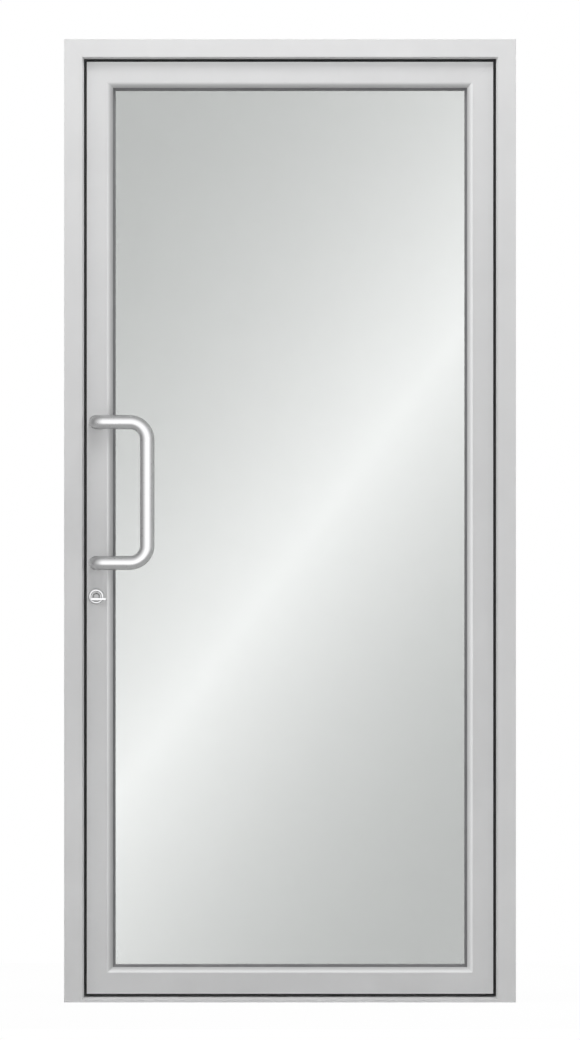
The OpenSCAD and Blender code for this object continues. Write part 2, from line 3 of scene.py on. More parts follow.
import bmesh
import bpy
import numpy as np
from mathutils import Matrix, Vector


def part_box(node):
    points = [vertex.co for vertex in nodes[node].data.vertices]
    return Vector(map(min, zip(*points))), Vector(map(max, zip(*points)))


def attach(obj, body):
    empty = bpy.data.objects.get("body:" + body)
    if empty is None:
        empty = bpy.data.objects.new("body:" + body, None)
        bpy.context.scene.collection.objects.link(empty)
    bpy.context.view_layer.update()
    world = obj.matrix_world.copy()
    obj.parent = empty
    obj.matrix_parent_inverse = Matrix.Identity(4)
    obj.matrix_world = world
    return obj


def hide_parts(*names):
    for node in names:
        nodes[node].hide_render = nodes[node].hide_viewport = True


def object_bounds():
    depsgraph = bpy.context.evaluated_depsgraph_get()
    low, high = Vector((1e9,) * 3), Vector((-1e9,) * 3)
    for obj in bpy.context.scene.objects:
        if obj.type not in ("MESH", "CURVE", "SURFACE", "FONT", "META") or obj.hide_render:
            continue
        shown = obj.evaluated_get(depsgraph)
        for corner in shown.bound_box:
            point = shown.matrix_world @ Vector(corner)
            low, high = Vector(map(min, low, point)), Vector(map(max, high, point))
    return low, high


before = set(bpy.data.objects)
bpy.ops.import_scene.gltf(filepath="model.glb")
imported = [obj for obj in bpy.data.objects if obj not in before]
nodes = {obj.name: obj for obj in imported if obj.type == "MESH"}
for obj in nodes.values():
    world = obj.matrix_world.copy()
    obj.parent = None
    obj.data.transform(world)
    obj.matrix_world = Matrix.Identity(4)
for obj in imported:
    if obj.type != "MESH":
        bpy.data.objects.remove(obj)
cadLow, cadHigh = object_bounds()

# depths of the door in metres: the front face of the frame and of the leaf, and their back face
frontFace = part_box("jamb_lock_front")[0].y
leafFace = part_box("stile_lock_front")[0].y
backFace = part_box("stile_lock_back")[1].y


# ---- camera: far away with a long lens, so that the door's edges stay parallel
view = {
    "distance": 34.0,       # metres in front of the frame
    "shownHeight": 2.2672,  # metres from the top to the bottom of the picture
    "middleX": 0.0,
    "middleZ": 1.0516,
    "sensor": 36.0,         # millimetres
    "farthest": 200.0,
}
cameraData = bpy.data.cameras.new("camera")
cameraData.sensor_width = view["sensor"]
cameraData.lens = view["sensor"] * view["distance"] / view["shownHeight"]
cameraData.clip_end = view["farthest"]
camera = bpy.data.objects.new("camera", cameraData)
camera.location = (view["middleX"], frontFace - view["distance"], view["middleZ"])
camera.rotation_euler = (math.radians(90), 0, 0)
bpy.context.scene.collection.objects.link(camera)
bpy.context.scene.camera = camera
print("camera placed")


# ---- small helpers for node trees
def newMaterial(name):
    made = bpy.data.materials.new(name)
    made.use_nodes = True
    tree = made.node_tree
    tree.nodes.clear()
    out = tree.nodes.new("ShaderNodeOutputMaterial")
    shader = tree.nodes.new("ShaderNodeBsdfPrincipled")
    tree.links.new(shader.outputs["BSDF"], out.inputs["Surface"])
    return made, tree, shader


def addNode(tree, kind, **values):
    made = tree.nodes.new(kind)
    for key, value in values.items():
        setattr(made, key, value)
    return made


def newGroup(name, inputs, outputs):
    tree = bpy.data.node_groups.new(name, "ShaderNodeTree")
    for label, kind, value in inputs:
        made = tree.interface.new_socket(name=label, in_out="INPUT", socket_type=kind)
        if value is not None:
            made.default_value = value
    for label, kind in outputs:
        tree.interface.new_socket(name=label, in_out="OUTPUT", socket_type=kind)
    return tree, tree.nodes.new("NodeGroupInput"), tree.nodes.new("NodeGroupOutput")


def placeGroup(tree, group, **values):
    made = tree.nodes.new("ShaderNodeGroup")
    made.node_tree = group
    for key, value in values.items():
        made.inputs[key].default_value = value
    return made


def mathNode(tree, operation, a=None, b=None, clamp=False):
    made = addNode(tree, "ShaderNodeMath", operation=operation, use_clamp=clamp)
    for index, value in enumerate((a, b)):
        if value is None:
            continue
        if isinstance(value, (int, float)):
            made.inputs[index].default_value = value
        else:
            tree.links.new(value, made.inputs[index])
    return made.outputs[0]


def mixColour(tree, factor, a, b):
    made = addNode(tree, "ShaderNodeMix", data_type="RGBA")
    for socket, value in ((made.inputs[0], factor), (made.inputs[6], a), (made.inputs[7], b)):
        if isinstance(value, (int, float, tuple)):
            socket.default_value = value
        else:
            tree.links.new(value, socket)
    return made.outputs[2]


def mixShaders(tree, factor, a, b):
    made = addNode(tree, "ShaderNodeMixShader")
    for index, value in enumerate((factor, a, b)):
        tree.links.new(value, made.inputs[index])
    return made.outputs[0]


# how far a vector points along a fixed direction
def alongWay(tree, vector, way):
    made = addNode(tree, "ShaderNodeVectorMath", operation="DOT_PRODUCT")
    tree.links.new(vector, made.inputs[0])
    made.inputs[1].default_value = way
    return made.outputs["Value"]


# goes smoothly from low to high while the value goes from start to end
def smoothStep(tree, value, start, end, low, high):
    made = addNode(tree, "ShaderNodeMapRange", interpolation_type="SMOOTHSTEP")
    for label, given in (("From Min", start), ("From Max", end), ("To Min", low), ("To Max", high)):
        made.inputs[label].default_value = given
    tree.links.new(value, made.inputs["Value"])
    return made.outputs["Result"]


# a colour made lighter or darker, with its alpha
def shaded(colour, gain=1.0, lift=0.0):
    return tuple(min(1.0, c * gain + lift) for c in colour) + (1.0,)


# ---- effects that several materials share
# fine straight grain: stretched noise read across the lines, as drawn and brushed metal has
def grainGroup():
    tree, inside, out = newGroup(
        "straightGrain",
        [("Vector", "NodeSocketVector", None), ("Lines", "NodeSocketVector", (900.0, 900.0, 6.0)),
         ("Contrast", "NodeSocketFloat", 0.5)],
        [("Mask", "NodeSocketFloat")])
    scaled = addNode(tree, "ShaderNodeVectorMath", operation="MULTIPLY")
    tree.links.new(inside.outputs["Vector"], scaled.inputs[0])
    tree.links.new(inside.outputs["Lines"], scaled.inputs[1])
    noise = addNode(tree, "ShaderNodeTexNoise")
    noise.inputs["Scale"].default_value = 1.0
    noise.inputs["Detail"].default_value = 3.0
    tree.links.new(scaled.outputs[0], noise.inputs["Vector"])
    centred = mathNode(tree, "SUBTRACT", noise.outputs["Fac"], 0.5)
    spread = mathNode(tree, "MULTIPLY", centred, inside.outputs["Contrast"])
    tree.links.new(mathNode(tree, "ADD", spread, 0.5), out.inputs["Mask"])
    return tree


# slow clouding of a finish, a few centimetres across, with fine specks on top
def cloudGroup():
    tree, inside, out = newGroup(
        "finishClouds",
        [("Vector", "NodeSocketVector", None), ("Size", "NodeSocketFloat", 9.0),
         ("Specks", "NodeSocketFloat", 1400.0)],
        [("Clouds", "NodeSocketFloat"), ("Fine", "NodeSocketFloat")])
    for size, detail, label in (("Size", 4.0, "Clouds"), ("Specks", 1.0, "Fine")):
        noise = addNode(tree, "ShaderNodeTexNoise")
        noise.inputs["Detail"].default_value = detail
        tree.links.new(inside.outputs["Vector"], noise.inputs["Vector"])
        tree.links.new(inside.outputs[size], noise.inputs["Scale"])
        tree.links.new(noise.outputs["Fac"], out.inputs[label])
    return tree


# rounded edges: the normal averaged over a small radius, and where it differs a mask of the edge
def edgeGroup():
    tree, inside, out = newGroup(
        "softEdges", [("Radius", "NodeSocketFloat", 0.0006)],
        [("Normal", "NodeSocketVector"), ("Mask", "NodeSocketFloat")])
    bevel = addNode(tree, "ShaderNodeBevel", samples=6)
    tree.links.new(inside.outputs["Radius"], bevel.inputs["Radius"])
    geometry = addNode(tree, "ShaderNodeNewGeometry")
    dot = addNode(tree, "ShaderNodeVectorMath", operation="DOT_PRODUCT")
    tree.links.new(bevel.outputs["Normal"], dot.inputs[0])
    tree.links.new(geometry.outputs["Normal"], dot.inputs[1])
    bent = mathNode(tree, "SUBTRACT", 1.0, dot.outputs["Value"])
    tree.links.new(mathNode(tree, "MULTIPLY", bent, 5.0, clamp=True), out.inputs["Mask"])
    tree.links.new(bevel.outputs["Normal"], out.inputs["Normal"])
    return tree


grain, clouds, softEdges = grainGroup(), cloudGroup(), edgeGroup()


# roughness swings by a mask about its own value
def varyRoughness(tree, shader, mask, swing, roughness):
    varied = mathNode(tree, "MULTIPLY", mathNode(tree, "SUBTRACT", mask, 0.5), swing)
    tree.links.new(mathNode(tree, "ADD", varied, roughness), shader.inputs["Roughness"])


def addBump(tree, shader, height, strength, relief):
    bump = addNode(tree, "ShaderNodeBump")
    bump.inputs["Strength"].default_value = strength
    bump.inputs["Distance"].default_value = relief
    tree.links.new(height, bump.inputs["Height"])
    tree.links.new(bump.outputs["Normal"], shader.inputs["Normal"])
    return bump


metalFinish = {
    "glintAndWearGain": 1.12,      # how much lighter an edge is: rubbed wear and a painted glint
    "glintAndWearShare": 0.6,      # and how much of that shows
    "roughSwing": 0.16,      # change of roughness over the grain
    "relief": 0.00004,       # metres
}


# metal: a base colour that clouds slightly, grain in roughness and bump, edges painted lighter as rubbed wear and as
# a painted glint
def metalMaterial(name, colour, roughness, lines, grainDepth=0.35, spread=0.05, edge=0.0006, metallic=1.0):
    made, tree, shader = newMaterial(name)
    place = addNode(tree, "ShaderNodeTexCoord").outputs["Object"]
    lined = placeGroup(tree, grain, Lines=lines, Contrast=1.0)
    cloud = placeGroup(tree, clouds)
    edges = placeGroup(tree, softEdges, Radius=edge)
    tree.links.new(place, lined.inputs["Vector"])
    tree.links.new(place, cloud.inputs["Vector"])
    base = mixColour(tree, cloud.outputs["Clouds"], shaded(colour, 1 - spread), shaded(colour, 1 + spread))
    # the edges are painted lighter: part rubbed wear, part a painted glint
    glintAndWear = mathNode(tree, "MULTIPLY", edges.outputs["Mask"], metalFinish["glintAndWearShare"])
    glintedAndWorn = mixColour(tree, glintAndWear, base, shaded(colour, metalFinish["glintAndWearGain"]))
    tree.links.new(glintedAndWorn, shader.inputs["Base Color"])
    varyRoughness(tree, shader, lined.outputs["Mask"], metalFinish["roughSwing"], roughness)
    shader.inputs["Metallic"].default_value = metallic
    bump = addBump(tree, shader, lined.outputs["Mask"], grainDepth, metalFinish["relief"])
    tree.links.new(edges.outputs["Normal"], bump.inputs["Normal"])
    return made


darkFinish = {
    "lineContrast": 0.8,
    "cloudSize": 14.0,
    "dustGain": 1.5,         # dusty places: the colour times this
    "dustLift": 0.006,       # plus this
    "roughSwing": 0.25,
    "lineDepth": 0.5,
    "relief": 0.00006,       # metres
}


# rubber and plastic: dark, matte, with fine specks and faint draw lines
def darkMaterial(name, colour, roughness, lines):
    made, tree, shader = newMaterial(name)
    place = addNode(tree, "ShaderNodeTexCoord").outputs["Object"]
    lined = placeGroup(tree, grain, Lines=lines, Contrast=darkFinish["lineContrast"])
    cloud = placeGroup(tree, clouds, Size=darkFinish["cloudSize"])
    tree.links.new(place, lined.inputs["Vector"])
    tree.links.new(place, cloud.inputs["Vector"])
    dusty = shaded(colour, darkFinish["dustGain"], darkFinish["dustLift"])
    tree.links.new(mixColour(tree, cloud.outputs["Clouds"], shaded(colour), dusty), shader.inputs["Base Color"])
    varyRoughness(tree, shader, cloud.outputs["Fine"], darkFinish["roughSwing"], roughness)
    addBump(tree, shader, lined.outputs["Mask"], darkFinish["lineDepth"], darkFinish["relief"])
    return made


def wear(material, *names):
    for name in names:
        slots = nodes[name].data.materials
        slots.clear()
        slots.append(material)


# ---- frame and leaf: satin anodised aluminium, the grain runs along each profile
anodised = {
    "frameColour": (0.77, 0.771, 0.773),
    "leafColour": (0.74, 0.742, 0.745),
    "roughness": 0.45,
    "metallic": 0.3,
    "linesUpright": (700.0, 700.0, 5.0),
    "linesLevel": (5.0, 700.0, 700.0),
    "bevelRoughness": 0.6,
    "bevelLines": (600.0, 600.0, 600.0),
    "bevelEdge": 0.0002,
}
frameUpright, frameLevel, leafUpright, leafLevel = [
    metalMaterial(part + way, anodised[part + "Colour"], anodised["roughness"], anodised["lines" + way],
                  metallic=anodised["metallic"])
    for part in ("frame", "leaf") for way in ("Upright", "Level")]
leafBevelMetal = metalMaterial("leafBevel", anodised["leafColour"], anodised["bevelRoughness"],
                               anodised["bevelLines"], edge=anodised["bevelEdge"])
wear(frameUpright, "jamb_lock_front", "jamb_lock_back", "jamb_hinge_front", "jamb_hinge_back")
wear(frameLevel, "head_front", "head_back", "threshold_front", "threshold_back")
wear(leafUpright, "stile_lock_front", "stile_lock_back", "stile_hinge_front", "stile_hinge_back",
     "bead_lock_side", "bead_hinge_side")
wear(leafLevel, "top_rail_front", "top_rail_back", "bottom_rail_front", "bottom_rail_back",
     "bead_top", "bead_bottom")
print("aluminium done")

# ---- seals, insulating bars, packers
darkParts = {
    # material: colour, roughness, draw lines along x, y and z; the seal beside the glass is dark grey
    "rubberSeal": ((0.095, 0.095, 0.097), 0.62, (900.0, 900.0, 900.0)),
    "greySeal": ((0.17, 0.17, 0.175), 0.55, (900.0, 900.0, 900.0)),
    "glassFilledPlastic": ((0.022, 0.022, 0.024), 0.5, (300.0, 300.0, 300.0)),
    "packerPlastic": ((0.10, 0.13, 0.2), 0.45, (200.0, 200.0, 200.0)),
}
darks = {name: darkMaterial(name, *values) for name, values in darkParts.items()}
wear(darks["rubberSeal"], "frame_seal", "leaf_seal")
wear(darks["greySeal"], "glazing_seal_front", "glazing_seal_back")
wear(darks["glassFilledPlastic"], "frame_breaks", "threshold_break", "leaf_breaks")
wear(darks["packerPlastic"], "glazing_blocks")

# ---- steel and hardware
hardware = {
    # material: colour, roughness, grain lines along x, y and z, grain depth, colour spread, edge radius
    "handleSteel": ((0.89, 0.89, 0.895), 0.3, (260.0, 260.0, 260.0), 0.1, 0.02, 0.0004),
    "rosetteSteel": ((0.88, 0.88, 0.885), 0.32, (500.0, 500.0, 500.0), 0.12, 0.03),
    "cylinderNickel": ((0.58, 0.58, 0.585), 0.36, (900.0, 40.0, 900.0), 0.25),
    "lockSteel": ((0.58, 0.58, 0.59), 0.36, (900.0, 900.0, 20.0), 0.4),
    "leverSteel": ((0.87, 0.87, 0.875), 0.3, (30.0, 900.0, 900.0), 0.1, 0.02),
    "hubSteel": ((0.44, 0.44, 0.445), 0.34, (700.0, 700.0, 700.0), 0.15),
    "screwSteel": ((0.66, 0.66, 0.67), 0.3, (700.0, 700.0, 700.0), 0.2),
    "pinSteel": ((0.62, 0.62, 0.63), 0.25, (60.0, 60.0, 1500.0), 0.3),
    "hingeMetal": ((0.78, 0.78, 0.785), 0.4, (800.0, 800.0, 8.0)),
    "spacerBar": ((0.6, 0.6, 0.6), 0.5, (30.0, 900.0, 30.0)),
}
handleTint = (0.5, 0.5, 0.5, 1.0)  # what the tube's sides reflect at a grazing angle
metals = {name: metalMaterial(name, *values) for name, values in hardware.items()}
metals["handleSteel"].node_tree.nodes["Principled BSDF"].inputs["Specular Tint"].default_value = handleTint
wear(metals["cylinderNickel"], "lock_cylinder")
wear(metals["lockSteel"], "lock_faceplate", "lock_case", "latch_roller", "dead_bolt", "strike_plate", "handle_bolts")
wear(metals["pinSteel"], "hinge_pins")
wear(metals["hingeMetal"],
     *[f"hinge_{place}_{side}" for place in ("top", "middle", "bottom") for side in ("frame", "leaf")])
wear(metals["spacerBar"], "glass_spacer")

# ---- glass: coated panes that mirror part of the light and let the rest through, faintly green
panes = {
    "colour": (0.82, 0.83, 0.824),
    "cloudGain": 0.985,      # the colour where it clouds
    "cloudSize": 2.2,
    "mirror": 0.28,
    "roughness": 0.0,
    "ior": 1.5,
}


def glassMaterial():
    made, tree, shader = newMaterial("coatedGlass")
    place = addNode(tree, "ShaderNodeTexCoord").outputs["Object"]
    cloud = placeGroup(tree, clouds, Size=panes["cloudSize"])
    tree.links.new(place, cloud.inputs["Vector"])
    clouded = shaded(panes["colour"], panes["cloudGain"])
    tree.links.new(mixColour(tree, cloud.outputs["Clouds"], clouded, shaded(panes["colour"])),
                   shader.inputs["Base Color"])
    shader.inputs["Roughness"].default_value = panes["roughness"]
    shader.inputs["Metallic"].default_value = panes["mirror"]
    shader.inputs["Transmission Weight"].default_value = 1.0
    shader.inputs["IOR"].default_value = panes["ior"]
    return made


wear(glassMaterial(), "glass_front", "glass_back")
print("hardware and glass done")


# ---- surfaces: each new piece is one or more grids of points made into a closed mesh
mergeWithin = 0.000002  # metres within which points at poles and seams become one


# quads join neighbouring rows and columns; the last column is joined to the first
def gridQuads(rows, columns, first):
    row, column = np.meshgrid(np.arange(rows - 1), np.arange(columns), indexing="ij")
    here = first + row * columns + column
    beside = first + row * columns + (column + 1) % columns
    return np.stack((here, beside, beside + columns, here + columns), axis=-1).reshape(-1, 4)


def surfacePiece(name, grids, material, body, sharp=38.0):
    quads, count = [], 0
    for grid in grids:
        rows, columns = grid.shape[:2]
        quads.append(gridQuads(rows, columns, count))
        count += rows * columns
    mesh = bpy.data.meshes.new(name)
    mesh.from_pydata(np.concatenate([grid.reshape(-1, 3) for grid in grids]).tolist(), [],
                     np.concatenate(quads).tolist())
    shape = bmesh.new()
    shape.from_mesh(mesh)
    bmesh.ops.remove_doubles(shape, verts=shape.verts, dist=mergeWithin)
    bmesh.ops.recalc_face_normals(shape, faces=shape.faces)
    shape.to_mesh(mesh)
    shape.free()
    mesh.shade_smooth()
    mesh.set_sharp_from_angle(angle=math.radians(sharp))
    mesh.materials.append(material)
    made = bpy.data.objects.new(name, mesh)
    bpy.context.scene.collection.objects.link(made)
    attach(made, body)
    return made


# a grid's own x, y and z laid along three directions from a place
def placed(grid, place, xWay, yWay, zWay):
    return np.asarray(place) + grid @ np.array((xWay, yWay, zWay), dtype=float)


# the three directions of a turned piece whose axis points back (way 1) or to the front (way -1)
def axisAlongY(way):
    return (1, 0, 0), (0, 0, 1), (0, way, 0)


# pairs of radius and height turned about the z axis; with a hexagon share the ring is pulled
# from a circle to a hexagon: radius times cos(30) / cos(angle within its sixth - 30)
def turned(profile, sides, hexagon=0.0):
    profile = np.asarray(profile, dtype=float)
    angle = np.arange(sides) * 2 * np.pi / sides
    corner = np.cos(np.pi / 6) / np.cos(angle % (np.pi / 3) - np.pi / 6)
    share = np.broadcast_to(np.asarray(hexagon, dtype=float), (len(profile),))[:, None]
    radius = profile[:, :1] * (1 - share + share * corner)
    height = np.repeat(profile[:, 1:2], sides, axis=1)
    return np.stack((radius * np.cos(angle), radius * np.sin(angle), height), axis=-1)


# a profile of (distance in, depth) pairs carried round a rectangle, mitred at its corners:
# each point becomes the rectangle shrunk by its distance in, at its depth
def mitred(profile, low, high):
    inward, depth = np.asarray(profile, dtype=float).T[:, :, None]
    x = np.array((low[0], high[0], high[0], low[0])) + inward * np.array((1, -1, -1, 1))
    z = np.array((low[1], low[1], high[1], high[1])) + inward * np.array((1, 1, -1, -1))
    y = np.broadcast_to(depth, x.shape)
    return np.stack((x, y, z), axis=-1)


# ---- pull handles: a circle carried along feet, arms, grip and the four bends between them
handles = {"tubeRadius": 0.015, "bendRadius": 0.038, "footBend": 0.017, "sides": 72, "bendSteps": 26}


# straight runs are their two ends; a bend is its centre plus the radius times cosine and sine
# of the turned angle along two directions; the ring lies in the plane square to the path
def handleSurface(low, high, face, arm):
    r, b, f = handles["tubeRadius"], handles["bendRadius"], handles["footBend"]
    footX, gripX, lowZ, highZ = low[0] + r, high[0] - r, low[2] + r, high[2] - r
    side = 1.0 if face > arm else -1.0
    turn = np.linspace(0, np.pi / 2, handles["bendSteps"])[:, None]
    x, y, z = np.eye(3)

    def bend(radius, centre, fromWay, toWay):
        point = np.asarray(centre) + radius * (np.cos(turn) * fromWay + np.sin(turn) * toWay)
        return point, np.cos(turn) * toWay - np.sin(turn) * fromWay

    outward = -side * y
    parts = [
        (np.array([[footX, face, lowZ]]), np.array([outward]), z),
        (*bend(f, (footX + f, arm + side * f, lowZ), -x, outward), z),
        (*bend(b, (gripX - b, arm, lowZ + b), -z, x), None),
        (*bend(b, (gripX - b, arm, highZ - b), x, z), None),
        (*bend(f, (footX + f, arm + side * f, highZ), outward, -x), -z),
        (np.array([[footX, face, highZ]]), np.array([-outward]), -z),
    ]
    path = np.concatenate([part[0] for part in parts])
    along = np.concatenate([part[1] for part in parts])
    across = np.concatenate([np.cross(-y, part[1]) if part[2] is None
                             else np.broadcast_to(part[2], part[1].shape) for part in parts])
    other = np.cross(along, across)
    angle = np.arange(handles["sides"]) * 2 * np.pi / handles["sides"]
    cosine, sine = np.cos(angle)[None, :, None], np.sin(angle)[None, :, None]
    tube = path[:, None, :] + r * (cosine * across[:, None, :] + sine * other[:, None, :])
    ends = [np.repeat(path[index][None, None, :], handles["sides"], axis=1) for index in (0, -1)]
    return np.concatenate((ends[0], tube, ends[1]))


for name in ("handle_front", "handle_back"):
    low, high = [np.array(corner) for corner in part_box(name)]
    r = handles["tubeRadius"]
    face, arm = (high[1], low[1] + r) if name == "handle_front" else (low[1], high[1] - r)
    tube = surfacePiece(name.replace("handle", "pullHandle"), [handleSurface(low, high, face, arm)],
                        metals["handleSteel"], "leaf")
    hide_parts(name)
print("pull handles made")


# ---- rosettes: a turned ring with a sloped outer edge and a flat front
rosettes = {
    "lockX": -0.4225,
    "lockZ": 0.885,
    "sides": 96,
    "sharp": 50.0,
    # radius and height above the leaf's face, in metres, round the ring and back to its start
    "section": [(0.01125, 0.0), (0.01725, 0.0), (0.01725, 0.0022), (0.01705, 0.0036), (0.01660, 0.0050),
                (0.01600, 0.0061), (0.01530, 0.0067), (0.01450, 0.0070), (0.01240, 0.0070), (0.01180, 0.0068),
                (0.01140, 0.0063), (0.01125, 0.0058), (0.01125, 0.0)],
    # the rounded rim on the cylinder's front face, round the lever's hub
    "cylinderFace": -0.0385,
    "rim": [(0.0073, -0.0002), (0.0108, -0.0002), (0.0108, 0.0009), (0.0106, 0.0013), (0.0102, 0.0016),
            (0.0097, 0.0017), (0.0091, 0.0016), (0.0084, 0.0012), (0.0078, 0.0007), (0.0073, 0.0001),
            (0.0073, -0.0002)],
}


# a profile turned about the lock's axis from a depth to the front (way -1) or to the back (way 1)
def aboutLock(profile, depth, way, sides):
    return placed(turned(profile, sides), (rosettes["lockX"], depth, rosettes["lockZ"]), *axisAlongY(way))


for name, face, way in (("Front", leafFace, -1.0), ("Back", backFace, 1.0)):
    ring = aboutLock(rosettes["section"], face, way, rosettes["sides"])
    made = surfacePiece("rosette" + name, [ring], metals["rosetteSteel"], "leaf", rosettes["sharp"])
    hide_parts("lock_rosette_" + name.lower())
rim = aboutLock(rosettes["rim"], rosettes["cylinderFace"], -1.0, rosettes["sides"])
surfacePiece("cylinderRim", [rim], metals["rosetteSteel"], "leaf", rosettes["sharp"])

# the turn lever: a rounded hub with a stub of the spindle, and a soft-edged bar
turnLever = {
    "hub": [(0.0, 0.0), (0.004, 0.0), (0.004, 0.0123), (0.0066, 0.0123), (0.0070, 0.0127), (0.0070, 0.0140),
            (0.0066, 0.0150), (0.0056, 0.0157), (0.0042, 0.0161), (0.0022, 0.0163), (0.0, 0.0163)],
    "hubSides": 64,
    "hubBack": -0.0265,     # y of the spindle's inner end
    "barDeep": 0.005,
    "barTall": 0.0056,
    "power": 7.0,           # how square the bar's long edges are
    "endPower": 16.0,       # and its two ends
}


# a superellipsoid: each of cosine and sine is raised to 2 / power with its sign kept
def softBlock(half, power, endPower, rows=48, columns=64):
    def squared(values, how=power):
        return np.sign(values) * np.abs(values) ** (2.0 / how)

    rise = np.linspace(-np.pi / 2, np.pi / 2, rows)[:, None]
    angle = (np.arange(columns) * 2 * np.pi / columns)[None, :]
    x = squared(np.sin(rise), endPower) * np.ones_like(angle)
    y = squared(np.cos(rise), endPower) * squared(np.cos(angle))
    z = squared(np.cos(rise), endPower) * squared(np.sin(angle))
    return np.stack((x * half[0], y * half[1], z * half[2]), axis=-1)


barLow, leverHigh = [np.array(corner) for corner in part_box("lock_turn")]
barHigh = np.array((leverHigh[0], barLow[1] + turnLever["barDeep"], barLow[2] + turnLever["barTall"]))
bar = softBlock((barHigh - barLow) / 2, turnLever["power"], turnLever["endPower"]) + (barLow + barHigh) / 2
made = surfacePiece("turnLever", [bar], metals["leverSteel"], "lock_turn")
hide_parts("lock_turn")
hub = aboutLock(turnLever["hub"], turnLever["hubBack"], -1.0, turnLever["hubSides"])
surfacePiece("turnHub", [hub], metals["hubSteel"], "lock_turn")
print("rosettes and lever made")


# ---- the leaf's bevel towards the glass: a convex curve over the flat bevel of the shell
leafEdge = {"low": (-0.443, 0.020), "high": (0.443, 2.0505)}  # x and z of the leaf's front edge
bevel = {
    "start": 0.0438,        # metres in from the leaf's edge
    "width": 0.0128,
    "fall": 0.0071,         # how far it falls back towards the glass
    "power": 1.8,           # of the curve, 1 would be flat
    "steps": 15,
    "under": 0.0006,        # how far the closing strip lies under the curve's ends
    "sharp": 3.6,           # degrees, so that the narrow strips stay flat
}


# depth grows with the distance in raised to a power; steps are even in slope; the way back runs
# just under the curve's chord, inside the shell
def bevelProfile():
    steepest = np.arctan(bevel["fall"] * bevel["power"] / bevel["width"])
    slope = np.linspace(0, 1, bevel["steps"]) * steepest
    share = (np.tan(slope) / np.tan(steepest)) ** (1 / (bevel["power"] - 1))
    front = np.stack((bevel["start"] + bevel["width"] * share,
                      leafFace + bevel["fall"] * share ** bevel["power"]), axis=-1)
    back = front[[-1, 0]] + np.array((0.0, bevel["under"]))
    return np.concatenate((front, back, front[:1]))


surfacePiece("leafBevel", [mitred(bevelProfile(), leafEdge["low"], leafEdge["high"])],
             leafBevelMetal, "leaf", bevel["sharp"])

# a black seal in the corner behind the leaf's front edge; its black stands in for the shade in the gap, so that the
# gap stays dark
gapShadeSeal = {
    # distance in from the leaf's edge, and y
    "section": [(-0.0034, -0.0075), (-0.0034, -0.0098), (-0.0030, -0.0104), (-0.0002, -0.0104),
                (-0.0002, -0.0075), (-0.0034, -0.0075)],
    "sharp": 20.0,
}
surfacePiece("gapShadeSeal", [mitred(gapShadeSeal["section"], leafEdge["low"], leafEdge["high"])],
             darks["rubberSeal"], "leaf", gapShadeSeal["sharp"])
print("leaf trim made")


# ---- screws: raised heads with a hexagon socket, on the hinge wings, faceplate and strike plate
screws = {
    # radius, height and hexagon share from the rim over the head down into the socket
    "head": [(0.0, -0.0002, 0), (0.0046, -0.0002, 0), (0.0046, 0.0002, 0), (0.0043, 0.0007, 0),
             (0.0037, 0.0011, 0), (0.0030, 0.0013, 0), (0.0023, 0.00135, 1), (0.0021, 0.0012, 1),
             (0.0021, 0.0003, 1), (0.0, 0.0002, 1)],
    "sides": 36,
    "lockSize": 0.8,        # the lock's screws are this much narrower
    "wingFace": 0.0415,     # y of the hinge wings' outer face
    "hingeHeights": (0.230, 1.040, 1.850),
    "frameWing": (0.477, (-0.078, -0.046, 0.046, 0.078)),   # x, and heights about a hinge's middle
    "leafWing": (0.429, (-0.018, 0.018)),
    "faceplate": (-0.446, 0.0065, (0.827, 1.043)),           # face, y and heights
    "strike": (-0.458, 0.00025, (0.827, 1.043)),
}


def screwRow(places, xWay, yWay, zWay, size=1.0):
    head = np.array(screws["head"]) * np.array((size, size, 1.0))
    one = turned(head[:, :2], screws["sides"], hexagon=head[:, 2])
    return [placed(one, place, xWay, yWay, zWay) for place in places]


for body, part in (("frame", "frameWing"), ("leaf", "leafWing")):
    x, heights = screws[part]
    places = [(x, screws["wingFace"], middle + up) for middle in screws["hingeHeights"] for up in heights]
    surfacePiece(part + "Screws", screwRow(places, *axisAlongY(1)), metals["screwSteel"], body)
for body, part, way in (("leaf", "faceplate", -1.0), ("frame", "strike", 1.0)):
    x, y, heights = screws[part]
    places = [(x, y, height) for height in heights]
    surfacePiece(part + "Screws", screwRow(places, (0, 1, 0), (0, 0, 1), (way, 0, 0), size=screws["lockSize"]),
                 metals["screwSteel"], body)

# domed caps over the ends of the hinge pins
pinCaps = {
    "pinX": 0.458,
    "pinY": 0.0525,
    "reach": 0.093,         # from a hinge's middle to the end of its pin
    "sides": 48,
    "dome": [(0.0, -0.0004), (0.0092, -0.0004), (0.0092, 0.0003), (0.0086, 0.0009), (0.0070, 0.0015),
             (0.0048, 0.0019), (0.0024, 0.0021), (0.0, 0.0022)],
}
dome = turned(pinCaps["dome"], pinCaps["sides"])
domes = [placed(dome, (pinCaps["pinX"], pinCaps["pinY"], middle + way * pinCaps["reach"]),
                (1, 0, 0), (0, 1, 0), (0, 0, way))
         for middle in screws["hingeHeights"] for way in (1.0, -1.0)]
surfacePiece("pinCaps", domes, metals["pinSteel"], "frame")
print("screws and caps made")


# ---- floor, world and lights
stage = {
    "floorColour": (0.86, 0.86, 0.86),
    "floorHalfWide": 3.0,
    "floorFront": -1.8,
    "floorBack": 3.0,
    "floorDrop": 0.0005,      # under the door's foot
    "cameraWhite": 1.0,
    "glossFloor": 0.38,       # what satin metal sees of the floor
    "floorShade": 0.03,       # how much of the floor's real shading the camera sees
    "worldFill": 0.08,
    "glossBase": 0.22,        # what metal reflects of the studio's sides
    "glassSky": 0.52,         # what the glass mirrors of the studio
    "glossParts": [           # direction, where it starts and ends, what it adds
        ((0.12, -0.99, 0.0), -0.3, 1.0, 0.62),
        ((0.12, -0.99, 0.0), 0.6, 1.0, 0.43),
        ((0.0, 0.0, -1.0), 0.3, 0.8, -0.35),
        ((0.0, 1.0, 0.0), 0.1, 0.7, 0.3),
    ],
}


